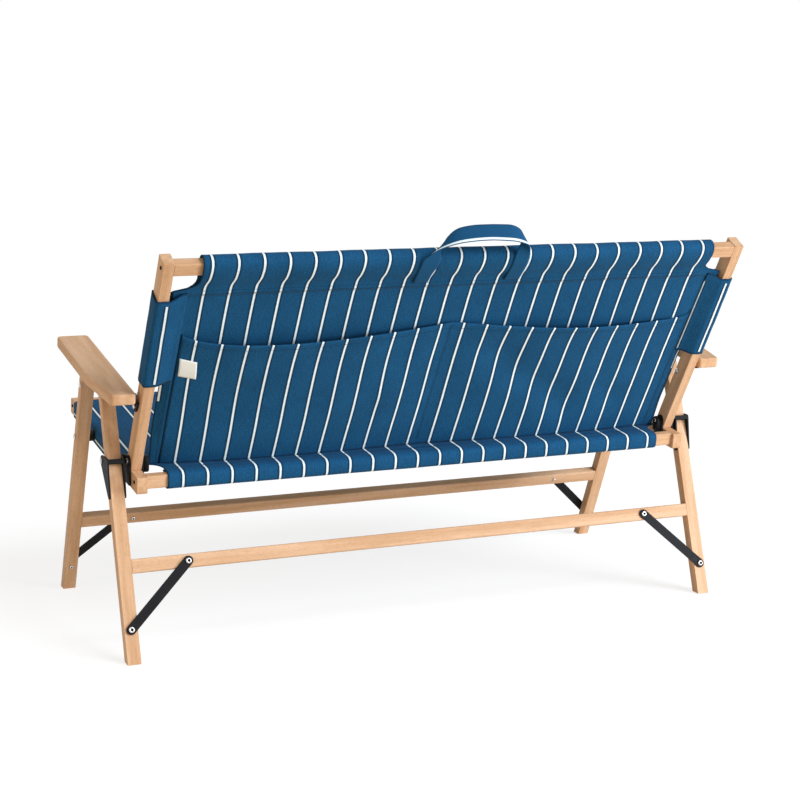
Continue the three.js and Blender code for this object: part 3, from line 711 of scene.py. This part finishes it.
def tab(side, sign, stripe, single, lift, sag):
    """A loop of cloth from the panel's edge round a back rail and back."""
    inner, outer = RAIL_INNER - TAB_EASE["inner"], RAIL_OUTER + TAB_EASE["outer"]
    front, rear = -HALF_RAIL - TAB_EASE["front"], HALF_RAIL + TAB_EASE["rear"]
    section = [
        (TAB_LAP, 4.2), (475, 6), (486, 11), (inner, rear - 0.6), (inner + 4, rear), (outer - 3, rear),
        (outer, rear - 3), (outer + 0.4, 0), (outer, front + 3), (outer - 3, front), (inner + 3, front),
        (inner - 1, front + 3), (486, -6), (475, -0.4), (TAB_LAP, 0.1),
    ]
    path = smooth_path(section, 2.5)
    along = lengths(path)
    rows = []
    count = 34
    for (x, s), u in zip(path, along):
        wrap = ramp(x, 480, RAIL_OUTER)
        web = 1 - ramp(x, 472, inner)
        top = TAB_TOP + 8 * web
        bottom = TAB_FOOT + lift * web - sag * wrap * ramp(-s, -10, 10)
        row = []
        for i in range(count + 1):
            t = bottom + (top - bottom) * i / count
            soft = 0.5 * ripple(u, t, 30, 3.1 + sign)
            lean = web * (panel_s(t) - panel_s(TAB_FOOT / 2 + TAB_TOP / 2))
            row.append((on_back(sign * (x + soft * wrap), s + lean + soft * 0.4, t), u - stripe, t))
        rows.append(row)
    ends = (TAB_FOOT + TAB_HEM * 0.6, TAB_TOP - TAB_HEM)
    material = canvas("tab_canvas_" + side, 0, STRIPE_PITCH, STRIPE_WIDTH, single, ends)
    made = grid_piece("rail_tab_" + side, rows, material)
    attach(made, "back_frame")


tab("L", 1, 34.6, True, -3, 6)
tab("R", -1, 42.1, False, 2, 0)


# Seat sling: a panel between the bars, looped round both

SEAT_PROFILE = [
    (236, 13.6), (241.5, 6), (243, -5), (247, -10.4), (261, -10.6), (265.6, -7.4), (266.8, 4),
    (265.4, 13), (260, 16.6), (248, 17), (230, 16.6), (212, 16.3), (150, 15.2), (50, 14.9),
    (-60, 15), (-140, 16), (-165, 17), (-176, 16.4), (-180, 12), (-181, 2), (-179.6, -7),
    (-175, -10.8), (-161, -10.6), (-156.6, -6), (-155, 5), (-149, 13.4),
]


def seat_half(s):
    """Half the seat cloth's width, hollowed at its four corners."""
    start, run = SEAT_REAR_HOLLOW
    rear = 1 - math.sqrt(1 - min(max((start - s) / run, 0), 1) ** 2)
    start, run = SEAT_FRONT_HOLLOW
    front = 1 - math.sqrt(1 - min(max((s - start) / run, 0), 1) ** 2)
    return SEAT_SLEEVE_HALF + (SEAT_HALF - SEAT_SLEEVE_HALF) * min(rear, front)


def seat_sheet():
    path = smooth_path(SEAT_PROFILE, 5)
    along = lengths(path)
    rows = []
    for point, v in zip(path, along):
        s, t = point
        row = []
        for column in COLUMNS:
            x = column * seat_half(s)
            soft = 0.45 * ripple(x, v, 60, 7.5)
            row.append((on_seat(x, s, t + soft), stripe_u(x, SEAT_STRIPES), v))
        rows.append(row)
    return grid_piece("seat_canvas", rows, STRIPED)


SEAT_SHEET = seat_sheet()
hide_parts("seat_sling")
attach(SEAT_SHEET, "seat_frame")


def seat_sleeve(side, sign):
    """A sleeve round a seat rail, sewn to the panel's edge."""
    inner, outer = RAIL_INNER - SLEEVE_EASE, RAIL_OUTER + SLEEVE_EASE
    low, high = -HALF_RAIL - SLEEVE_EASE, HALF_RAIL + SLEEVE_EASE
    section = [
        (470, 17.2), (484, 17), (inner + 2, high), (outer - 3, high), (outer, high - 3),
        (outer + 0.3, 0), (outer, low + 3), (outer - 3, low), (inner + 3, low), (inner, low + 3),
        (inner, 6), (484, 13.6), (472, 14),
    ]
    path = smooth_path(section, 3)
    along = lengths(path)
    rows = []
    count = 60
    start, end = SLEEVE_RUN
    for (x, t), u in zip(path, along):
        row = []
        for i in range(count + 1):
            s = start + (end - start) * i / count
            soft = 0.5 * ripple(u, s, 34, 5.7 + sign)
            row.append((on_seat(sign * (x + soft * 0.5), s, t + soft * 0.5), u - SLEEVE_STRIPE, s))
        rows.append(row)
    material = canvas("sleeve_canvas_" + side, 0, STRIPE_PITCH, STRIPE_WIDTH)
    made = grid_piece("rail_sleeve_" + side, rows, material)
    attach(made, "seat_frame")


seat_sleeve("L", 1)
seat_sleeve("R", -1)


# Carry handle: a band that rises from the sleeve, twists and arches over it

# Its rear and front edges, as (x, height, how far behind the rails' centre line)
HANDLE_REAR = [
    (94, 346, None), (95, 368, None), (95, 386, None), (93.5, 399.8, 21), (87.3, 406.8, 23),
    (73.2, 421.2, 26),
    (56.6, 430.7, 28.5), (38.6, 436.7, 30), (14, 440, 30.5), (-11, 441, 30.5), (-34, 439.7, 30.5),
    (-58, 436.5, 30), (-80.7, 428, 27), (-89, 419, 24), (-95.5, 404, 20.6), (-96.5, 386, None),
    (-96.5, 366, None), (-96.5, 346, None),
]
HANDLE_FRONT = [
    (69, 346, None), (68.5, 368, None), (64.5, 386, None), (62, 400, 18.8), (65, 414, 16),
    (57.5, 429, 10),
    (48, 438.5, 5), (35, 445, 1.5), (13, 448.5, 0), (-11, 449.6, 0), (-35, 449.2, 0), (-59, 447.4, 0.4),
    (-75, 440, 4), (-79, 427, 10), (-71.5, 408, 16.8), (-68.6, 388, None), (-69, 366, None),
    (-69, 346, None),
]
HANDLE_REST = 1.9  # the band's middle above the sleeve it is sewn to
HANDLE_STEPS = 6  # rows between two points of an edge
LOOP_REAR = 7  # the loop's rear face starts at this point of its profile


def sleeve_s(t):
    """How far behind the rails' centre line the sleeve's rear face lies at height t."""
    rear = LOOP_PROFILE[LOOP_REAR:]
    for (s0, t0), (s1, t1) in zip(rear, rear[1:]):
        if t >= t1:
            return s0 + (s1 - s0) * (t - t0) / (t1 - t0)
    return rear[-1][0]


def handle():
    edges = []
    for points in (HANDLE_REAR, HANDLE_FRONT):
        knots = [(x, t, sleeve_s(t) + HANDLE_REST if s is None else s) for x, t, s in points]
        edges.append(smooth_path(knots, None, HANDLE_STEPS))
    rows = []
    along = lengths([(rear + front) / 2 for rear, front in zip(*edges)])
    for rear, front, v in zip(*edges, along):
        row = []
        for k in range(9):
            across = k / 8
            x, t, s = rear.lerp(front, across)
            row.append((on_back(x, s, t), across / MM, v))
        rows.append(row)
    made = grid_piece("handle_band", rows, WEBBING_UNDER, 2.0, WEBBING)
    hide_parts("carry_handle")
    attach(made, "back_frame")


handle()


# Blank cotton tag sewn to the pocket, with its corners as (x, height)
TAG_CORNERS = [Vector(p) for p in ((461, 212.6), (433, 206.7), (429, 170), (459, 176))]


def tag():
    rows = []
    upper_left, upper_right, lower_right, lower_left = TAG_CORNERS
    for i in range(13):
        left = lower_left.lerp(upper_left, i / 12)
        right = lower_right.lerp(upper_right, i / 12)
        row = []
        for j in range(11):
            x, t = left.lerp(right, j / 10)
            curl = 1.1 * math.sin(i / 12 * math.pi) + 0.6 * (j / 10) ** 2
            row.append((on_back(x, panel_s(t) + pocket_gap(x, t) + 1.2 + curl, t), j * 3, i * 3))
        rows.append(row)
    made = grid_piece("blank_tag", rows, TAG_CLOTH, 0.7)
    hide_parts("label_tag")
    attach(made, "back_frame")


tag()


# Sewing

# Rows of hem stitches, as (height, how far behind the rails' centre line)
HEM_STITCHES = [(HEM_SEAM + 4, 6.5), (HEM_FOOT + 3, 6)]
SIDE_STITCH_LIFT = 1.6
POCKET_STITCH_LIFT = 0.8
SEAT_SEAMS = (238, 241, -146, -149)
SEAT_SEAM_HEIGHT = 17.6


def hem_lines():
    lines = []
    for t, s in HEM_STITCHES:
        lines.append([on_back(x, s, t) for x in range(-450, 451, 10)])
    for sign in (1, -1):
        for inset in (6, SIDE_HEM - 3):
            x = sign * (PANEL_HALF - inset)
            side = [(t, panel_s(t) + SIDE_STITCH_LIFT - edge_curl(x, t)) for t in range(-4, 326, 6)]
            lines.append([on_back(x, s, t) for t, s in side])
    return lines


def on_pocket(x, t):
    return on_back(x, panel_s(t) + pocket_gap(x, t) + POCKET_STITCH_LIFT, t)


def pocket_lines():
    lines = [[on_pocket(x, mouth(x) - 11) for x in range(-456, 457, 8)]]
    for x in (POCKET_SEAM_X - 1.5, POCKET_SEAM_X + 1.5):
        lines.append([on_pocket(x, t) for t in range(0, 258, 6)])
    for sign in (1, -1):
        lines.append([on_pocket(sign * (POCKET_HALF - 3), t) for t in range(-6, 250, 6)])
    for t in (250, 252, 254, 256):
        lines.append([on_pocket(x, t) for x in (-3, 0, 3, 6, 9)])
    return lines


def seat_lines():
    return [[on_seat(x, s, SEAT_SEAM_HEIGHT) for x in range(-458, 459, 10)] for s in SEAT_SEAMS]


BACK_THREAD = stitches("back_stitching", hem_lines(), THREAD)
POCKET_THREAD = stitches("pocket_stitching", pocket_lines(), THREAD)
SEAT_THREAD = stitches("seat_stitching", seat_lines(), THREAD)
THREAD_BODIES = (
    (BACK_THREAD, "back_frame"),
    (POCKET_THREAD, "back_frame"),
    (SEAT_THREAD, "seat_frame"),
)
for made, body in THREAD_BODIES:
    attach(made, body)

# The cloth turns at the crease
CREASE = on_back(0, -5, -14)
TURNED = on_back(0, -4, 26)
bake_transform(BACK_SHEET)
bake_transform(POCKET)


# Screws and hinge blocks: turned shapes, as (radius, height)
PAN_HEAD = [(1.0, 0.0), (1.0, 0.25), (0.9, 0.5), (0.66, 0.62), (0.46, 0.62), (0.42, 0.3), (0.05, 0.3)]
HINGE_BLOCK = [(7.5, 0), (7.5, 8.6), (6.6, 9.8), (4.4, 9.8), (3.8, 9.2), (3.6, 8)]
HINGE_BLOCK_DROP = 13
HINGE_SCREW_INSET = 8.2  # from the hinge plate to the screw in its block
SOCKET_RING = 4  # the pan head's rings from here on are its socket, painted dark as shade
TURNED_SIDES = 18
STRAP_SCREW = 5.2  # radii of the heads
BOLT_END = 3.4
BAR_SCREW = 3.0
REAR_STRAP_FACE = 11.8  # from a leg's centre line to the face that carries the head
FRONT_STRAP_FACE = -9.8
FRONT_LEG_FACE = 11.2


def turned(name, place, axis, rings, body, material, drop=0):
    """A turned piece that stands on a face; its lower half can be drawn downwards."""
    sides = TURNED_SIDES
    verts, faces = [], []
    turn = axis.normalized().to_track_quat("Z", "Y").to_matrix()
    for size, height in rings:
        for k in range(sides):
            angle = 2 * math.pi * k / sides
            low = drop if math.sin(angle) < -0.01 else 0
            spoke = Vector((math.cos(angle) * size, math.sin(angle) * size - low, height)) * MM
            verts.append(place + turn @ spoke)
    for ring in range(len(rings) - 1):
        for k in range(sides):
            a = ring * sides + k
            b = ring * sides + (k + 1) % sides
            faces.append((a, b, b + sides, a + sides))
    faces.append(tuple(reversed(range(sides))))
    faces.append(tuple(range(len(verts) - sides, len(verts))))
    made = new_piece(name, verts, faces, material)
    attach(made, body)
    return made


def screw(name, place, axis, radius, body, material=METAL):
    """A pan head with a hexagon socket painted dark as shade."""
    rings = [(size * radius, height * radius) for size, height in PAN_HEAD]
    made = turned(name, place, axis, rings, body, material)
    made.data.materials.append(SOCKET)
    for face in made.data.polygons:
        face.material_index = int(min(face.vertices) >= SOCKET_RING * TURNED_SIDES)


def down(origin, degrees, z):
    """Distance along a leaning leg, from its origin, to height z."""
    return (z - origin.z / MM) / math.cos(math.radians(degrees))


REAR_NORMAL = on_rear_leg(0, 1, 0) - on_rear_leg(0, 0, 0)
FRONT_NORMAL = on_front_leg(0, 1, 0) - on_front_leg(0, 0, 0)
OUTWARD = Vector((1, 0, 0))

for side, sign in (("L", 1), ("R", -1)):
    rear_top = down(REAR_LEG_PIVOT, REAR_LEG_LEAN, REAR_STRETCHER_Z)
    rear_foot = down(REAR_LEG_PIVOT, REAR_LEG_LEAN, STRAP_FOOT_Z)
    front_top = down(SEAT_PIVOT, FRONT_LEG_LEAN, FRONT_STRETCHER_Z)
    front_foot = down(SEAT_PIVOT, FRONT_LEG_LEAN, STRAP_FOOT_Z)
    inner_x, leg_x = sign * STRAP_INNER_X, sign * LEG_CENTRE
    for end, x, t in (("a_", inner_x, rear_top), ("b_", leg_x, rear_foot)):
        place = on_rear_leg(x, REAR_STRAP_FACE, t)
        screw("rear_strap_screw_" + end + side, place, REAR_NORMAL, STRAP_SCREW, "rear_legs")
    for name, face, normal, radius in (
        ("front_strap_screw_", FRONT_STRAP_FACE, -FRONT_NORMAL, STRAP_SCREW),
        ("front_strap_bolt_end_", FRONT_LEG_FACE, FRONT_NORMAL, BOLT_END),
    ):
        for end, x, t in (("a_", inner_x, front_top), ("b_", leg_x, front_foot)):
            screw(name + end + side, on_front_leg(x, face, t), normal, radius, "front_legs")
    for name, place, body in (
        ("seat_front_bar_screw_", on_seat(sign * RAIL_OUTER, -166, 3), "seat_frame"),
        ("seat_rear_bar_screw_", on_seat(sign * RAIL_OUTER, 255, 3), "seat_frame"),
        ("top_bar_screw_", on_back(sign * RAIL_OUTER, 5, 389), "back_frame"),
    ):
        screw(name + side, place, OUTWARD * sign, BAR_SCREW, body, IRON)
    turned("hinge_block_" + side, on_back(sign * HINGE_PLATE_INNER, 0, 0), OUTWARD * -sign, HINGE_BLOCK,
           "seat_frame", IRON, HINGE_BLOCK_DROP)
    place = on_back(sign * (HINGE_PLATE_INNER - HINGE_SCREW_INSET), 0, 0)
    screw("hinge_block_screw_" + side, place, OUTWARD * -sign, BOLT_END, "seat_frame")


# Stage: a pale floor, soft light and the photograph's viewpoint

FLOOR_HALF = 60
FLOOR_DROP = 0.0005
FLOOR_BOUNCE = (0.8, 0.68, 0.55)
FLOOR_SEEN = (0.36, 0.355, 0.34)
FLOOR_GLOW = 0.76
WORLD_LIGHT = 0.33
KEY_COLOUR = (0.95, 1, 1.13)
SUN_FROM = (-1.5, 1.9, 2.3)
SUN_STRENGTH = 1.9
SUN_SOFTNESS = 35
WINDOW_AT = (-2.2, 2.2, 0.45)  # a soft light on the right that fades towards the left
WINDOW_SIZE = 0.8
WINDOW_POWER = 50
FILL_AT = (2.4, 1.0, 1.4)  # warm light thrown back from the left
FILL_SIZE = 1.4
FILL_POWER = 9
FILL_COLOUR = (1, 0.8, 0.58)
LAMP_TARGET = (0, 0, 0.4)
CAMERA_AT = (1.2367, 2.7722, 0.9461)
CAMERA_TURN = (24.055, 10.852, 0.921)  # yaw, pitch and roll in degrees
CAMERA_LENS = 78.18
FILM_WIDTH = 36


def seen_rays(tree):
    """1 for the camera's own rays and for what it sees in metal or glass, else 0."""
    rays = tree.nodes.new("ShaderNodeLightPath")
    total = rays.outputs["Is Camera Ray"]
    for name in ("Is Glossy Ray", "Is Transmission Ray"):
        most = tree.nodes.new("ShaderNodeMath")
        most.operation = "MAXIMUM"
        tree.links.new(total, most.inputs[0])
        tree.links.new(rays.outputs[name], most.inputs[1])
        total = most.outputs[0]
    return total


def pale_floor():
    mesh = bpy.data.meshes.new("floor")
    corners = [(x * FLOOR_HALF, y * FLOOR_HALF, 0) for x, y in ((-1, -1), (1, -1), (1, 1), (-1, 1))]
    mesh.from_pydata(corners, [], [(0, 1, 2, 3)])
    floor = bpy.data.objects.new("floor", mesh)
    bpy.context.scene.collection.objects.link(floor)
    floor.location.z = -FLOOR_DROP
    paper = Shader("floor_paper")
    paper.set(Roughness=1.0, Specular_IOR_Level=0.0)
    seen = seen_rays(paper.tree)
    paper.link(paper.mix(seen, FLOOR_BOUNCE, FLOOR_SEEN), paper.bsdf.inputs["Base Color"])
    paper.bsdf.inputs["Emission Color"].default_value = (1, 1, 1, 1)
    paper.link(paper.math("MULTIPLY", seen, FLOOR_GLOW), paper.bsdf.inputs["Emission Strength"])
    mesh.materials.append(paper.material)


def white_world():
    world = bpy.data.worlds.new("white_studio")
    bpy.context.scene.world = world
    world.use_nodes = True
    tree = world.node_tree
    background = tree.nodes["Background"]
    background.inputs["Color"].default_value = (1, 1, 1, 1)
    strength = tree.nodes.new("ShaderNodeMapRange")
    strength.inputs["To Min"].default_value = WORLD_LIGHT
    strength.inputs["To Max"].default_value = 1.0
    tree.links.new(seen_rays(tree), strength.inputs["Value"])
    tree.links.new(strength.outputs[0], background.inputs["Strength"])


def lamp(name, kind, power, colour, at):
    """A lamp that shines from a place towards the middle of the seat."""
    data = bpy.data.lights.new(name, kind)
    data.energy = power
    data.color = colour
    made = bpy.data.objects.new(name, data)
    made.location = at
    made.rotation_euler = (Vector(LAMP_TARGET) - Vector(at)).to_track_quat("-Z", "Y").to_euler()
    bpy.context.scene.collection.objects.link(made)
    return data


def lights():
    lamp("sun", "SUN", SUN_STRENGTH, KEY_COLOUR, SUN_FROM).angle = math.radians(SUN_SOFTNESS)
    lamp("window", "AREA", WINDOW_POWER, KEY_COLOUR, WINDOW_AT).size = WINDOW_SIZE
    lamp("fill", "AREA", FILL_POWER, FILL_COLOUR, FILL_AT).size = FILL_SIZE


def photograph_camera():
    yaw, pitch, roll = (math.radians(angle) for angle in CAMERA_TURN)
    level = math.cos(pitch)
    ahead = Vector((-math.sin(yaw) * level, -math.cos(yaw) * level, -math.sin(pitch)))
    right = ahead.cross(Vector((0, 0, 1))).normalized()
    up = right.cross(ahead)
    turned_right = right * math.cos(roll) + up * math.sin(roll)
    turned_up = up * math.cos(roll) - right * math.sin(roll)
    data = bpy.data.cameras.new("camera")
    data.sensor_width = FILM_WIDTH
    data.lens = CAMERA_LENS
    camera = bpy.data.objects.new("camera", data)
    turn = Matrix((turned_right, turned_up, -ahead)).transposed()
    camera.matrix_world = Matrix.Translation(Vector(CAMERA_AT)) @ turn.to_4x4()
    bpy.context.scene.collection.objects.link(camera)
    bpy.context.scene.camera = camera


pale_floor()
white_world()
lights()
photograph_camera()
bpy.context.scene.view_settings.view_transform = "Standard"
